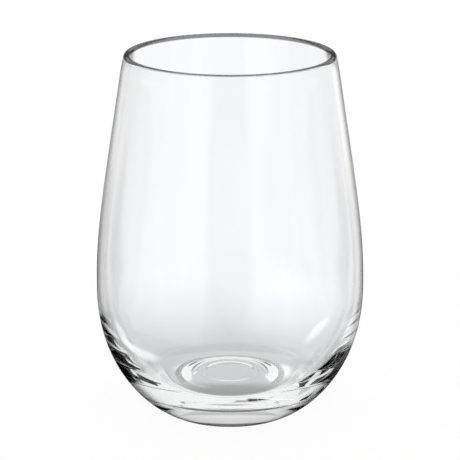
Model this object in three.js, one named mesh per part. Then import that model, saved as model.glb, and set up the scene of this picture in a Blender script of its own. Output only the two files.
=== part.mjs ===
import * as THREE from 'three';

// Stemless drinking glass, a body of clear glass revolved about +Z.
// Millimetres, with the origin at the middle of the plane that the glass stands on.
// The glass is held as four zones, one above the other, that meet on level seams.

// Outside of the glass
const HEIGHT = 122;
const RIM_RADIUS = 34.8;
const BELLY_RADIUS = 44.7;
const BELLY_HEIGHT = 42.5;
const FOOT_RADIUS = 21;

// How the outer curve leaves the foot, passes the belly and runs into the straight taper
const FOOT_ANGLE = 7;
const FOOT_REACH = 5;
const BELLY_DROP = 29;
const BELLY_RISE = 20.6;
const TAPER_ANGLE = 8.9;
const TAPER_REACH = 42.5;

// Inside of the glass
const RIM_WALL = 2.5;
const BELLY_WALL = 2.3;
const FLOOR_HEIGHT = 10.8;
const FLOOR_RADIUS = 24.5;
const FLOOR_REACH = 7;
const CAVITY_DROP = 18;

// Level seams between the zones
const HEEL_RISE = 5;
const RIM_DEPTH = 5;

// Underside: the standing ring, the punt, which is the hollow inside it, and a bead round the punt's flat top
const STANDING_RING_WIDTH = 1.4;
const PUNT_HEIGHT = 6.2;
const PUNT_TOP_RADIUS = 10.8;
const PUNT_REACH = 4;
const PUNT_EDGE_ANGLE = 38;
const PUNT_EDGE_REACH = 5;
const BEAD_WIDTH = 3.4;
const BEAD_DEPTH = 0.15;

// Fineness of the facets
const TURN_STEPS = 64;
const WALL_STEPS = 12;
const PUNT_STEPS = 14;
const BEAD_STEPS = 6;
const LIP_STEPS = 8;
const SHORTEST_STEP = 0.3;

const CLEAR_GLASS = { color: 0xf2f6f6, roughness: 0.03, metalness: 0, transparent: true, opacity: 0.35 };

const degrees = THREE.MathUtils.degToRad;
const point = (radius, height) => new THREE.Vector2(radius, height);

const rimSeam = HEIGHT - RIM_DEPTH;
const baseSeam = FLOOR_HEIGHT + HEEL_RISE;
const taper = Math.tan(degrees(TAPER_ANGLE));
const seamRadius = RIM_RADIUS + RIM_DEPTH * taper;

function curve(start, startHandle, endHandle, end, steps = WALL_STEPS) {
  return new THREE.CubicBezierCurve(start, startHandle, endHandle, end).getPoints(steps);
}

// Upper wall, from the belly to the seam under the rim, at a depth into the glass that changes on the way up
function upperWall(bellyDepth, rimDepth) {
  const belly = BELLY_RADIUS - bellyDepth;
  const top = seamRadius - rimDepth;
  return curve(
    point(belly, BELLY_HEIGHT),
    point(belly, BELLY_HEIGHT + BELLY_RISE),
    point(top + TAPER_REACH * taper, rimSeam - TAPER_REACH),
    point(top, rimSeam),
  );
}

function outerLowerWall() {
  const rise = degrees(FOOT_ANGLE);
  return curve(
    point(FOOT_RADIUS, 0),
    point(FOOT_RADIUS + FOOT_REACH * Math.cos(rise), FOOT_REACH * Math.sin(rise)),
    point(BELLY_RADIUS, BELLY_HEIGHT - BELLY_DROP),
    point(BELLY_RADIUS, BELLY_HEIGHT),
  );
}

// Flat floor, then the curve that carries it up into the wall
function innerLowerWall() {
  const belly = BELLY_RADIUS - BELLY_WALL;
  const corner = curve(
    point(FLOOR_RADIUS, FLOOR_HEIGHT),
    point(FLOOR_RADIUS + FLOOR_REACH, FLOOR_HEIGHT),
    point(belly, BELLY_HEIGHT - CAVITY_DROP),
    point(belly, BELLY_HEIGHT),
  );
  return [point(0, FLOOR_HEIGHT), ...corner];
}

// Flat top of the punt, from the axis out to the bead that hangs from its rim
function puntTop() {
  const bead = Array.from({ length: BEAD_STEPS }, (_, i) => {
    const across = i / BEAD_STEPS;
    const depth = BEAD_DEPTH * Math.sin(Math.PI * across) ** 2;
    return point(PUNT_TOP_RADIUS - BEAD_WIDTH * (1 - across), PUNT_HEIGHT - depth);
  });
  return [point(0, PUNT_HEIGHT), ...bead];
}

// Domed side of the punt, down to the standing ring's inner edge
function puntSide() {
  const edge = FOOT_RADIUS - STANDING_RING_WIDTH;
  const slope = degrees(PUNT_EDGE_ANGLE);
  return curve(
    point(PUNT_TOP_RADIUS, PUNT_HEIGHT),
    point(PUNT_TOP_RADIUS + PUNT_REACH, PUNT_HEIGHT),
    point(edge - PUNT_EDGE_REACH * Math.cos(slope), PUNT_EDGE_REACH * Math.sin(slope)),
    point(edge, 0),
    PUNT_STEPS,
  );
}

// Half circle over the lip, from the outer side to the inner side
function lip() {
  const radius = RIM_WALL / 2;
  const arc = new THREE.EllipseCurve(RIM_RADIUS - radius, HEIGHT - radius, radius, radius, 0, Math.PI);
  return arc.getPoints(LIP_STEPS);
}

function radiusAt(wall, height) {
  const next = wall.findIndex((p, i) => i > 0 && p.y >= height);
  const low = wall[next - 1];
  const high = wall[next];
  return low.x + (high.x - low.x) * (height - low.y) / (high.y - low.y);
}

function below(wall, height) {
  const kept = wall.filter((p) => p.y < height - SHORTEST_STEP);
  return [...kept, point(radiusAt(wall, height), height)];
}

function above(wall, height) {
  const kept = wall.filter((p) => p.y > height + SHORTEST_STEP);
  return [point(radiusAt(wall, height), height), ...kept];
}

// A zone's section runs up the outside and down the inside, and closes on itself
function ringZone(name, outer, inner) {
  return zone(name, [...outer, ...inner.toReversed(), outer[0].clone()]);
}

function zone(name, section) {
  const geometry = new THREE.LatheGeometry(section, TURN_STEPS).rotateX(Math.PI / 2);
  const mesh = new THREE.Mesh(geometry, new THREE.MeshStandardMaterial(CLEAR_GLASS));
  mesh.name = name;
  return mesh;
}

const outerLower = outerLowerWall();
const innerLower = innerLowerWall();
const outerUpper = upperWall(0, 0);
const innerUpper = upperWall(BELLY_WALL, RIM_WALL);

const base = zone('base', [
  ...puntTop(),
  ...puntSide(),
  ...below(outerLower, baseSeam),
  ...below(innerLower, baseSeam).toReversed(),
]);
const heel = ringZone('heel', above(outerLower, baseSeam), above(innerLower, baseSeam));
const bowl = ringZone('bowl', outerUpper, innerUpper);
const rim = zone('rim', [
  outerUpper.at(-1),
  ...lip(),
  innerUpper.at(-1),
  outerUpper.at(-1).clone(),
]);

const tumbler = new THREE.Group();
tumbler.name = 'tumbler';
tumbler.add(base, heel, bowl, rim);

export default tumbler;
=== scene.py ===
import math

import bpy
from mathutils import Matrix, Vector
from mathutils.geometry import interpolate_bezier


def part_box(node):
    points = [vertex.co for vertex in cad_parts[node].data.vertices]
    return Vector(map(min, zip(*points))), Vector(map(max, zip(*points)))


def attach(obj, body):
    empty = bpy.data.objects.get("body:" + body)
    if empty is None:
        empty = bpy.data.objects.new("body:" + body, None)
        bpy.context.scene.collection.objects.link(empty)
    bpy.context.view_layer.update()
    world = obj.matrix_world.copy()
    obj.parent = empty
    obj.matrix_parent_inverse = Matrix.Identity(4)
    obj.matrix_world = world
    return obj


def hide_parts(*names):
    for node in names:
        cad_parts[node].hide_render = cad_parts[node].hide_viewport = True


# A clear stemless tumbler, shown as one unbroken body of glass on a white studio floor.
# Metres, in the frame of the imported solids. MM turns millimetres into metres.
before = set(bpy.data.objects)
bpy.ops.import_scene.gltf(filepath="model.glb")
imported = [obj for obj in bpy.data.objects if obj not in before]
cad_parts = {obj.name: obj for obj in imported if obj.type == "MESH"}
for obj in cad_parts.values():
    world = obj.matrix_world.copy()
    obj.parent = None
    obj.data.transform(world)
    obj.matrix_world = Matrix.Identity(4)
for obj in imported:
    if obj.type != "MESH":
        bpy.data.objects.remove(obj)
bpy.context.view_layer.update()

MM = 0.001

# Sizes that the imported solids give
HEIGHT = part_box("rim")[1].z
RIM_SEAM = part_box("rim")[0].z
SEAM_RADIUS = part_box("rim")[1].x
BELLY_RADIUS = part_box("bowl")[1].x
BELLY_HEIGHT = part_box("bowl")[0].z

# Outer curve
FOOT_RADIUS = 21 * MM
FOOT_ANGLE = math.radians(7)
FOOT_REACH = 5 * MM
BELLY_DROP = 29 * MM
BELLY_RISE = 20.6 * MM
TAPER = math.tan(math.radians(8.9))
TAPER_REACH = 42.5 * MM

# Inner curve
RIM_WALL = 2.5 * MM
BELLY_WALL = 2.3 * MM
FLOOR_HEIGHT = 10.8 * MM
FLOOR_RADIUS = 24.5 * MM
FLOOR_REACH = 7 * MM
CAVITY_DROP = 18 * MM

# Lip, a half circle over the wall
LIP_HALF = RIM_WALL / 2
LIP_MIDDLE = SEAM_RADIUS - (HEIGHT - RIM_SEAM) * TAPER - LIP_HALF

# Underside: the standing ring, the punt, which is the hollow inside it, and a bead round the punt's flat top
RING_WIDTH = 1.4 * MM
RING_ROUNDING = 0.5 * MM
PUNT_HEIGHT = 6.2 * MM
PLATEAU_RADIUS = 10.8 * MM
PUNT_REACH = 4 * MM
PUNT_EDGE_ANGLE = math.radians(38)
PUNT_EDGE_REACH = 5 * MM
BEAD_WIDTH = 3.4 * MM
BEAD_DEPTH = 0.15 * MM

# Fineness of the mesh
TURN_STEPS = 224
WALL_STEPS = 64
PUNT_STEPS = 48
LIP_STEPS = 20
ROUND_STEPS = 8

# Glass: its bending of light, its faint colour in depth, the waviness of its surface and a trace of haze
GLASS_IOR = 1.51
GLASS_COLOUR = (0.75, 0.785, 0.79, 1.0)
GLASS_DENSITY = 2.0
WAVE_SCALE = 22
WAVE_DETAIL = 1
WAVE_STRENGTH = 0.3
WAVE_DEPTH = 0.2 * MM
HAZE_SCALE = 60
HAZE_DETAIL = 4
HAZE_ROUGHNESS = 0.01

# Painted shade on the lip: its darkness, and where that fades, in half thicknesses of the wall, outward from
# the lip's middle and down from its top
LIP_PAINTED_SHADE = 0.06
LIP_SHADE_OUTWARD = (0.5, 1.0)
LIP_SHADE_DOWN = (1.15, 0.7)

# Painted shade along the outline: where it starts and how wide it is, in the measure of Layer Weight, and its
# darkness
OUTLINE_START_FOOT = 0.80
OUTLINE_START_BASE = 0.62
OUTLINE_START_RISE = 0.07
OUTLINE_WIDTH_FOOT = 0.08
OUTLINE_WIDTH = 0.165
OUTLINE_SHADE_LOW = 0.15
OUTLINE_SHADE_HIGH = 0.03

# Heights between which the painted outline shade changes
FOOT_ZONE = (0.0, 12 * MM)
START_ZONE = (25 * MM, 50 * MM)
OUTLINE_SHADE_ZONE = (30 * MM, 50 * MM)

# Camera, for a square picture of IMAGE_PIXELS
IMAGE_PIXELS = 460
FOCAL_PIXELS = 1940.4
SENSOR_WIDTH = 36
CAMERA_PLACE = (0.0, -0.620, 0.2493)
CAMERA_PITCH = math.radians(16.817)
LIGHT_BOUNCES = 64

# Stage: distances in metres, directions in degrees, azimuth from +Y clockwise seen from above
FLOOR_DROP = 0.4 * MM
FLOOR_HALF_WIDTH = 20
FLOOR_SHADOW = 0.06
WHITE = (1, 1, 1, 1)

# Pool of shade round the foot, seen through the glass
POOL_INNER = 0.015
POOL_OUTER = 0.145
POOL_DEPTH = 0.375
POOL_COLOUR = (0.965, 0.990, 1.0, 1.0)

# Streaks of light in the pool: middle, half sizes, turn in degrees and strength. A negative one is shade.
STREAKS = (
    ((0.0, -0.016), (0.030, 0.014), 0, -0.28),
    ((-0.0512, 0.040), (0.023, 0.0075), 100, 0.45),
    ((-0.0470, 0.0285), (0.013, 0.0075), -60, 0.33),
    ((-0.0385, 0.0230), (0.021, 0.0075), -35, 0.42),
    ((0.0365, 0.056), (0.026, 0.004), 71, 0.25),
    ((0.03, 0.09), (0.05, 0.06), 0, 0.07),
    ((0.0195, 0.003), (0.004, 0.009), 0, 0.5),
    ((-0.017, 0.008), (0.003, 0.007), -30, 0.4),
)
STREAK_CORE = 0.3

# Shade under the glass, met by light that has turned once, and shade round it, met by light off the outside
UNDER_INNER = 0.0288
UNDER_OUTER = 0.0432
UNDER_DEPTH = 0.78
UNDER_TURNS = 1
CONTACT_CENTRE = (-0.025, 0.0, 0.0)
CONTACT_INNER = 0.088
CONTACT_OUTER = 0.104
CONTACT_DEPTH = 1.0

# Dark flags round the glass, met only by light that the glass has reflected. Each has its azimuths, its
# elevations, the fewest and the most turns of the light that meets it, and its depth.
SOFT_FLAGS = (
    ((160, 190), (-90, 100), (1, 1), 0.5),
    ((-190, -160), (-90, 100), (1, 1), 0.5),
    ((-25, 25), (0, 26), (1, 1), 0.2),
    ((-30, 30), (27, 46), (1, 1), 0.55),
    ((-45, 45), (56, 82), (3, 3), 0.6),
    ((64, 86), (-10, 40), (3, 3), 0.3),
    ((-88, -60), (-10, 42), (3, 3), 0.5),
)

# Flags with crisp edges, for the black streaks in the thick base and the line along the foot: first those on
# the +X side, then those on the -X side, then those behind the glass
PLUS_X_FLAGS = (
    ((62, 86), (-12, 26), (7, 7), 1.0),
    ((84.5, 113), (-90, 42), (7, 9), 1.0),
    ((66, 76), (-6, 8), (8, 8), 0.5),
    ((50, 57), (11, 18), (8, 8), 1.0),
    ((56, 73), (8, 28), (8, 8), 1.0),
    ((71, 81), (18, 28), (8, 8), 1.0),
    ((79, 86), (8, 32), (8, 8), 1.0),
    ((77, 82), (-90, 42), (9, 15), 1.0),
    ((134, 178), (8, 50), (9, 15), 1.0),
    ((87, 106), (5, 29), (10, 10), 1.0),
    ((84.5, 106), (27, 46), (10, 15), 1.0),
    ((105, 132), (-90, 42), (10, 15), 1.0),
    ((79, 113), (-90, 46), (11, 11), 1.0),
    ((92, 99), (23, 29), (12, 15), 1.0),
    ((97.5, 107), (6, 29), (12, 15), 1.0),
    ((126, 152), (-5, 32), (16, 17), 1.0),
    ((126, 152), (-5, 17.5), (18, 19), 1.0),
    ((150, 182), (10, 32), (22, 31), 1.0),
)
MINUS_X_FLAGS = (
    ((-50, -41), (9, 17), (4, 5), 0.35),
    ((-85, -69), (15, 35), (6, 6), 1.0),
    ((-60, -50), (10, 33), (6, 7), 1.0),
    ((-132, -98), (-90, 42), (7, 9), 0.7),
    ((-98, -87), (-90, 42), (7, 9), 0.9),
    ((-84, -69), (-90, 9.5), (7, 9), 1.0),
    ((-84, -69), (18, 42), (7, 9), 0.95),
    ((-61, -42), (10, 38), (8, 9), 1.0),
    ((-180, -134), (8, 50), (9, 15), 1.0),
    ((-118, -100), (-90, 42), (10, 11), 0.8),
    ((-132, -118), (-90, 42), (10, 15), 0.75),
    ((-100, -71), (-90, 46), (10, 15), 1.0),
    ((-118, -100), (-90, 46), (12, 15), 1.0),
    ((-150, -115), (21, 42), (16, 19), 1.0),
)
BACK_FLAGS = (
    ((-32, 32), (2, 14), (1, 1), 0.85),
    ((-24, -15), (-5, 1), (4, 4), 0.7),
    ((-12, -1), (3, 11), (4, 4), 0.6),
    ((-21, -14.5), (20, 25), (5, 5), 1.0),
    ((-15, -9), (17, 23), (5, 5), 1.0),
    ((-9.5, -3), (17, 20.5), (5, 5), 0.7),
)
CRISP_FLAGS = PLUS_X_FLAGS + MINUS_X_FLAGS + BACK_FLAGS

# Half width of the flags' edges
SOFT_EDGE = 4
CRISP_EDGE = 1.2

# One soft light, written as a flag is, whose depth is the light that it adds
SOFTBOX = ((-118, -70), (50, 66), (6, 64), 2.4)

# Flags on the floor: azimuths, depth near the glass and depth far from it
FLOOR_FLAGS = (
    ((60, 100), 0.3, 0.3),
    ((28, 60), 0.18, 0.02),
    ((-100, -60), 0.6, 0.6),
    ((-60, -28), 0.36, 0.2),
)

# Distances between which all flags set in on the floor, and between which the depth of its own ones changes
FLOOR_FLAG_START = (0.07, 0.11)
FLOOR_FLAG_CHANGE = (0.35, 0.65)

# Elevation at which the floor meets the flags that stand round the glass
FLOOR_ELEVATION = -45

# Dark lanes that run back from both sides of the glass: the turn and the depth of each pair
LANES = ((0, 1.0), (-45, 0.25), (-90, 0.35), (135, 0.25))
LANE_INNER = 0.03
LANE_START = 0.044
LANE_SPREAD = 0.35
LANE_SOFTNESS = 0.02
LANE_NEAR = 0.12
LANE_FAR = 0.30
LANE_FAR_DEPTH = 0.5
LANE_TURNS = 3

# Elevations between which the lanes fade out above the floor
LANE_TOP = (5, 9)

# Counts of turns are whole, so a limit lies half a count away
HALF_COUNT = 0.5


def bezier(start, start_handle, end_handle, end, steps):
    knots = [Vector((r, z)) for r, z in (start, start_handle, end_handle, end)]
    return [tuple(p) for p in interpolate_bezier(*knots, steps + 1)]


def upper_wall(belly_depth, rim_depth):
    belly = BELLY_RADIUS - belly_depth
    top = SEAM_RADIUS - rim_depth
    return bezier(
        (belly, BELLY_HEIGHT),
        (belly, BELLY_HEIGHT + BELLY_RISE),
        (top + TAPER_REACH * TAPER, RIM_SEAM - TAPER_REACH),
        (top, RIM_SEAM),
        WALL_STEPS,
    )


def outer_lower_wall():
    return bezier(
        (FOOT_RADIUS, 0),
        (FOOT_RADIUS + FOOT_REACH * math.cos(FOOT_ANGLE), FOOT_REACH * math.sin(FOOT_ANGLE)),
        (BELLY_RADIUS, BELLY_HEIGHT - BELLY_DROP),
        (BELLY_RADIUS, BELLY_HEIGHT),
        WALL_STEPS,
    )


def inner_lower_wall():
    belly = BELLY_RADIUS - BELLY_WALL
    corner = bezier(
        (FLOOR_RADIUS, FLOOR_HEIGHT),
        (FLOOR_RADIUS + FLOOR_REACH, FLOOR_HEIGHT),
        (belly, BELLY_HEIGHT - CAVITY_DROP),
        (belly, BELLY_HEIGHT),
        WALL_STEPS,
    )
    flat = [(FLOOR_RADIUS * i / ROUND_STEPS, FLOOR_HEIGHT) for i in range(ROUND_STEPS)]
    return flat + corner


# A shallow bead hangs at the rim of the punt's flat top
def bead_depth(radius):
    across = min(max((PLATEAU_RADIUS - radius) / BEAD_WIDTH, 0), 1)
    return BEAD_DEPTH * math.sin(math.pi * across) ** 2


def underside():
    edge = FOOT_RADIUS - RING_WIDTH
    flat = [(PLATEAU_RADIUS * i / PUNT_STEPS, PUNT_HEIGHT) for i in range(PUNT_STEPS)]
    slope = bezier(
        (PLATEAU_RADIUS, PUNT_HEIGHT),
        (PLATEAU_RADIUS + PUNT_REACH, PUNT_HEIGHT),
        (edge - PUNT_EDGE_REACH * math.cos(PUNT_EDGE_ANGLE), PUNT_EDGE_REACH * math.sin(PUNT_EDGE_ANGLE)),
        (edge, 0),
        PUNT_STEPS,
    )
    hollow = [(r, z - bead_depth(r)) for r, z in flat + slope if r < edge - RING_ROUNDING]
    rounded = bezier(hollow[-1], (edge, 0), (edge, 0), (edge + RING_ROUNDING, 0), ROUND_STEPS)
    return hollow + rounded[1:]


def lip():
    angles = [math.pi * i / LIP_STEPS for i in range(LIP_STEPS + 1)]
    middle_height = HEIGHT - LIP_HALF
    return [(LIP_MIDDLE + LIP_HALF * math.cos(a), middle_height + LIP_HALF * math.sin(a)) for a in angles]


def glass_section():
    inner = inner_lower_wall()[:-1] + upper_wall(BELLY_WALL, RIM_WALL)
    return underside() + outer_lower_wall()[:-1] + upper_wall(0, 0) + lip() + inner[::-1]


# Turns a section that starts and ends on the axis into a closed, smooth mesh
def revolve(name, section):
    rings = section[1:-1]
    verts = [(0, 0, section[0][1])]
    for r, z in rings:
        for k in range(TURN_STEPS):
            a = 2 * math.pi * k / TURN_STEPS
            verts.append((r * math.cos(a), r * math.sin(a), z))
    verts.append((0, 0, section[-1][1]))
    top = len(verts) - 1
    last = top - TURN_STEPS
    faces = []
    for k in range(TURN_STEPS):
        after = (k + 1) % TURN_STEPS
        faces.append((0, 1 + after, 1 + k))
        for j in range(len(rings) - 1):
            low = 1 + j * TURN_STEPS
            high = low + TURN_STEPS
            faces.append((low + k, low + after, high + after, high + k))
        faces.append((last + k, last + after, top))
    mesh = bpy.data.meshes.new(name)
    mesh.from_pydata(verts, [], faces)
    mesh.shade_smooth()
    return place(name, mesh)


def place(name, mesh):
    obj = bpy.data.objects.new(name, mesh)
    bpy.context.scene.collection.objects.link(obj)
    return obj


# Sets each socket to its value, or links it to the socket that gives the value
def fill(made, values):
    for socket, value in values:
        if isinstance(value, bpy.types.NodeSocket):
            made.id_data.links.new(value, socket)
        else:
            socket.default_value = value
    return made


def node(tree, kind, **inputs):
    made = tree.nodes.new(kind)
    return fill(made, [(made.inputs[key.replace("_", " ")], value) for key, value in inputs.items()])


def maths(tree, operation, *values):
    made = tree.nodes.new("ShaderNodeMath")
    made.operation = operation
    return fill(made, zip(made.inputs, values)).outputs[0]


def mix_shader(tree, share, first, second):
    made = tree.nodes.new("ShaderNodeMixShader")
    return fill(made, zip(made.inputs, (share, first.outputs[0], second.outputs[0])))


def fade(tree, value, start, end, first=0.0, last=1.0):
    made = node(
        tree,
        "ShaderNodeMapRange",
        Value=value,
        From_Min=start,
        From_Max=end,
        To_Min=first,
        To_Max=last,
    )
    made.interpolation_type = "SMOOTHSTEP"
    return made.outputs["Result"]


def band(tree, value, low, high, softness):
    rise = fade(tree, value, low - softness, low + softness)
    fall = fade(tree, value, high - softness, high + softness)
    return maths(tree, "SUBTRACT", rise, fall)


def distance(tree, spot, centre=(0, 0, 0)):
    made = tree.nodes.new("ShaderNodeVectorMath")
    made.operation = "DISTANCE"
    return fill(made, zip(made.inputs, (spot, centre))).outputs["Value"]


# Soft round patch, 1 in the middle and 0 at its half sizes
def patch(tree, coords, centre, half_sizes, turn):
    local = node(
        tree,
        "ShaderNodeMapping",
        Vector=coords,
        Location=(*centre, 0),
        Rotation=(0, 0, math.radians(turn)),
        Scale=(*half_sizes, 1),
    )
    local.vector_type = "TEXTURE"
    return fade(tree, distance(tree, local.outputs[0]), STREAK_CORE, 1.0, 1.0, 0.0)


def split(tree, coords):
    return node(tree, "ShaderNodeSeparateXYZ", Vector=coords).outputs


def azimuth_of(tree, coords):
    parts = split(tree, coords)
    return maths(tree, "DEGREES", maths(tree, "ARCTAN2", parts["X"], parts["Y"]))


def new_material(name):
    material = bpy.data.materials.new(name)
    material.use_nodes = True
    material.node_tree.nodes.clear()
    return material, material.node_tree


# Painted shade on the top and the inner side of the lip, which darkens the glass's colour there
def painted_lip_shade(tree, spot):
    parts = split(tree, spot)
    flat = node(tree, "ShaderNodeCombineXYZ", X=parts["X"], Y=parts["Y"])
    radius = distance(tree, flat.outputs[0])
    radii = [LIP_MIDDLE + part * LIP_HALF for part in LIP_SHADE_OUTWARD]
    heights = [HEIGHT - part * LIP_HALF for part in LIP_SHADE_DOWN]
    inward = fade(tree, radius, *radii, 1.0, 0.0)
    upward = fade(tree, parts["Z"], *heights)
    return fade(tree, maths(tree, "MULTIPLY", inward, upward), 0.0, 1.0, 1.0, LIP_PAINTED_SHADE)


# Painted shade along the outline: the glass's colour darkens where the camera sees it at a low angle
def painted_outline_shade(tree, spot):
    height = split(tree, spot)["Z"]
    darkest = fade(tree, height, *OUTLINE_SHADE_ZONE, OUTLINE_SHADE_LOW, OUTLINE_SHADE_HIGH)
    start = fade(tree, height, *FOOT_ZONE, OUTLINE_START_FOOT, OUTLINE_START_BASE)
    start = maths(tree, "ADD", start, fade(tree, height, *START_ZONE, 0.0, OUTLINE_START_RISE))
    width = fade(tree, height, *FOOT_ZONE, OUTLINE_WIDTH_FOOT, OUTLINE_WIDTH)
    facing = node(tree, "ShaderNodeLayerWeight").outputs["Facing"]
    first = node(tree, "ShaderNodeLightPath").outputs["Is Camera Ray"]
    outline = maths(tree, "MULTIPLY", first, facing)
    return fade(tree, outline, start, maths(tree, "ADD", start, width), 1.0, darkest)


def clear_glass():
    material, tree = new_material("clear_glass")
    spot = node(tree, "ShaderNodeTexCoord").outputs["Object"]
    wave = node(tree, "ShaderNodeTexNoise", Vector=spot, Scale=WAVE_SCALE, Detail=WAVE_DETAIL).outputs["Fac"]
    bump = node(tree, "ShaderNodeBump", Strength=WAVE_STRENGTH, Distance=WAVE_DEPTH, Height=wave)
    haze = node(tree, "ShaderNodeTexNoise", Vector=spot, Scale=HAZE_SCALE, Detail=HAZE_DETAIL).outputs["Fac"]
    rough = node(tree, "ShaderNodeMapRange", Value=haze, To_Min=0.0, To_Max=HAZE_ROUGHNESS)
    # The glass's colour carries the painted shade of the lip and of the outline
    shader = node(
        tree,
        "ShaderNodeBsdfPrincipled",
        Base_Color=maths(tree, "MULTIPLY", painted_lip_shade(tree, spot), painted_outline_shade(tree, spot)),
        IOR=GLASS_IOR,
        Transmission_Weight=1.0,
        Roughness=rough.outputs["Result"],
        Normal=bump.outputs["Normal"],
    )
    body = node(tree, "ShaderNodeVolumeAbsorption", Color=GLASS_COLOUR, Density=GLASS_DENSITY)
    node(tree, "ShaderNodeOutputMaterial", Surface=shader.outputs[0], Volume=body.outputs[0])
    return material


# How often the ray has been reflected so far, and passed through a surface
def turns(tree):
    return node(tree, "ShaderNodeLightPath").outputs["Glossy Depth"]


def crossings(tree):
    return node(tree, "ShaderNodeLightPath").outputs["Transmission Depth"]


def at_least(tree, count, fewest):
    return maths(tree, "GREATER_THAN", count, fewest - HALF_COUNT)


def at_most(tree, count, most):
    return maths(tree, "LESS_THAN", count, most + HALF_COUNT)


# The depth of the deepest flag that light in some direction meets
def flag_shade(tree, flags, softness, azimuth, elevation):
    shade = 0.0
    for azimuths, elevations, (fewest, most), depth in flags:
        across = band(tree, azimuth, *azimuths, softness)
        upward = band(tree, elevation, *elevations, softness)
        flag = maths(tree, "MULTIPLY", maths(tree, "MULTIPLY", across, upward), depth)
        enough = at_least(tree, turns(tree), fewest)
        counted = maths(tree, "MULTIPLY", enough, at_most(tree, turns(tree), most))
        shade = maths(tree, "MAXIMUM", maths(tree, "MULTIPLY", flag, counted), shade)
    return shade


def all_flags(tree, azimuth, elevation):
    soft = flag_shade(tree, SOFT_FLAGS, SOFT_EDGE, azimuth, elevation)
    crisp = flag_shade(tree, CRISP_FLAGS, CRISP_EDGE, azimuth, elevation)
    return maths(tree, "MAXIMUM", soft, crisp)


# The flags that reach below the horizon, and the floor's own, which start at some distance from the glass
def floor_flags(tree, spot, radius):
    azimuth = azimuth_of(tree, spot)
    shade = all_flags(tree, azimuth, FLOOR_ELEVATION)
    for azimuths, near, far in FLOOR_FLAGS:
        depth = fade(tree, radius, *FLOOR_FLAG_CHANGE, near, far)
        flag = maths(tree, "MULTIPLY", band(tree, azimuth, *azimuths, SOFT_EDGE), depth)
        shade = maths(tree, "MAXIMUM", shade, flag)
    return maths(tree, "MULTIPLY", shade, fade(tree, radius, *FLOOR_FLAG_START))


# Dark lanes that draw the outline of the glass, one pair for each of some viewing directions
def lane_shade(tree, coords):
    shade = 0.0
    for azimuth, depth in LANES:
        turned = node(tree, "ShaderNodeVectorRotate", Vector=coords, Angle=math.radians(azimuth))
        turned.rotation_type = "Z_AXIS"
        parts = split(tree, turned.outputs[0])
        across = maths(tree, "ABSOLUTE", parts["X"])
        along = parts["Y"]
        outer = maths(tree, "MULTIPLY_ADD", along, LANE_SPREAD, LANE_START)
        beyond = maths(tree, "SUBTRACT", across, outer)
        lane = fade(tree, beyond, -LANE_SOFTNESS, LANE_SOFTNESS, depth, 0.0)
        lane = maths(tree, "MULTIPLY", lane, fade(tree, across, LANE_INNER - LANE_SOFTNESS, LANE_INNER))
        lane = maths(tree, "MULTIPLY", lane, fade(tree, along, 0.0, LANE_START))
        lane = maths(tree, "MULTIPLY", lane, fade(tree, along, LANE_NEAR, LANE_FAR, 1.0, LANE_FAR_DEPTH))
        shade = maths(tree, "MAXIMUM", shade, lane)
    return maths(tree, "MULTIPLY", shade, at_most(tree, turns(tree), LANE_TURNS))


def reflected_floor(tree, spot, radius):
    under = fade(tree, radius, UNDER_INNER, UNDER_OUTER, UNDER_DEPTH, 0.0)
    under = maths(tree, "MULTIPLY", under, at_most(tree, turns(tree), UNDER_TURNS))
    from_contact = distance(tree, spot, CONTACT_CENTRE)
    contact = fade(tree, from_contact, CONTACT_INNER, CONTACT_OUTER, CONTACT_DEPTH, 0.0)
    contact = maths(tree, "MULTIPLY", contact, at_most(tree, crossings(tree), 0))
    shade = maths(tree, "MAXIMUM", floor_flags(tree, spot, radius), lane_shade(tree, spot))
    shade = maths(tree, "MAXIMUM", shade, maths(tree, "MAXIMUM", under, contact))
    return node(tree, "ShaderNodeEmission", Strength=maths(tree, "SUBTRACT", 1.0, shade))


def transmitted_floor(tree, spot, radius):
    pool = fade(tree, radius, POOL_INNER, POOL_OUTER, 1.0 - POOL_DEPTH, 1.0)
    for centre, half_sizes, turn, strength in STREAKS:
        streak = patch(tree, spot, centre, half_sizes, turn)
        pool = maths(tree, "MULTIPLY_ADD", streak, strength, pool)
    return node(tree, "ShaderNodeEmission", Color=POOL_COLOUR, Strength=pool)


# White floor. The camera sees it white with a faint shadow, light through the glass sees the pool of shade
# round the foot, and light reflected in the glass sees the flags, the lanes and the shade near the glass.
def floor_white():
    material, tree = new_material("floor_white")
    spot = node(tree, "ShaderNodeNewGeometry").outputs["Position"]
    radius = distance(tree, spot)
    glow = node(tree, "ShaderNodeEmission", Strength=1.0)
    matte = node(tree, "ShaderNodeBsdfDiffuse", Color=WHITE)
    seen = mix_shader(tree, FLOOR_SHADOW, glow, matte)
    transmitted = at_least(tree, crossings(tree), 1)
    seen = mix_shader(tree, transmitted, seen, transmitted_floor(tree, spot, radius))
    reflected = at_least(tree, turns(tree), 1)
    seen = mix_shader(tree, reflected, seen, reflected_floor(tree, spot, radius))
    node(tree, "ShaderNodeOutputMaterial", Surface=seen.outputs[0])
    return material


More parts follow.
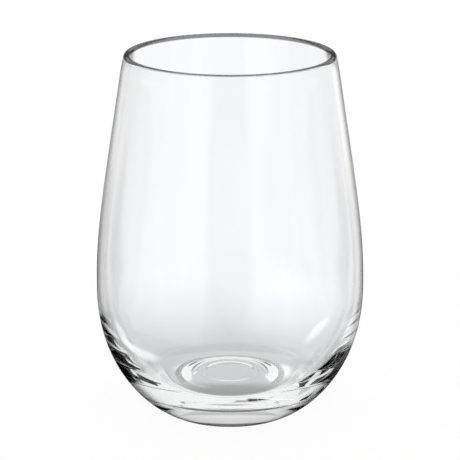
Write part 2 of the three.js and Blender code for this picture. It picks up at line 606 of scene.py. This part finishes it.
def build_floor():
    w = FLOOR_HALF_WIDTH
    corners = [(x, y, -FLOOR_DROP) for x, y in ((-w, -w), (w, -w), (w, w), (-w, w))]
    mesh = bpy.data.meshes.new("floor")
    mesh.from_pydata(corners, [], [(0, 1, 2, 3)])
    mesh.materials.append(floor_white())
    place("floor", mesh)


# White all round. Light reflected in the glass also sees the flags, the lanes and the soft light.
def build_world():
    world = bpy.data.worlds.new("white_studio")
    world.use_nodes = True
    tree = world.node_tree
    heading = node(tree, "ShaderNodeTexCoord").outputs["Generated"]
    elevation = maths(tree, "DEGREES", maths(tree, "ARCSINE", split(tree, heading)["Z"]))
    azimuth = azimuth_of(tree, heading)
    lanes = maths(tree, "MULTIPLY", lane_shade(tree, heading), fade(tree, elevation, *LANE_TOP, 1.0, 0.0))
    shade = maths(tree, "MAXIMUM", all_flags(tree, azimuth, elevation), lanes)
    added = flag_shade(tree, [SOFTBOX], SOFT_EDGE, azimuth, elevation)
    change = maths(tree, "SUBTRACT", added, shade)
    seen = maths(tree, "MULTIPLY_ADD", at_least(tree, turns(tree), 1), change, 1.0)
    sky = tree.nodes["Background"]
    fill(sky, [(sky.inputs["Color"], WHITE), (sky.inputs["Strength"], seen)])
    bpy.context.scene.world = world


def build_camera():
    data = bpy.data.cameras.new("camera")
    data.sensor_width = SENSOR_WIDTH
    data.lens = SENSOR_WIDTH * FOCAL_PIXELS / IMAGE_PIXELS
    camera = bpy.data.objects.new("camera", data)
    camera.location = CAMERA_PLACE
    camera.rotation_euler = (math.pi / 2 - CAMERA_PITCH, 0, 0)
    scene = bpy.context.scene
    scene.collection.objects.link(camera)
    scene.camera = camera


def set_light_paths():
    scene = bpy.context.scene
    scene.view_settings.view_transform = "Standard"
    scene.cycles.max_bounces = LIGHT_BOUNCES
    scene.cycles.glossy_bounces = LIGHT_BOUNCES
    scene.cycles.transmission_bounces = LIGHT_BOUNCES
    scene.cycles.transparent_max_bounces = LIGHT_BOUNCES


glass = revolve("glass_body", glass_section())
glass.data.materials.append(clear_glass())
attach(glass, "root")
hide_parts("base", "heel", "bowl", "rim")
build_floor()
build_world()
build_camera()
set_light_paths()
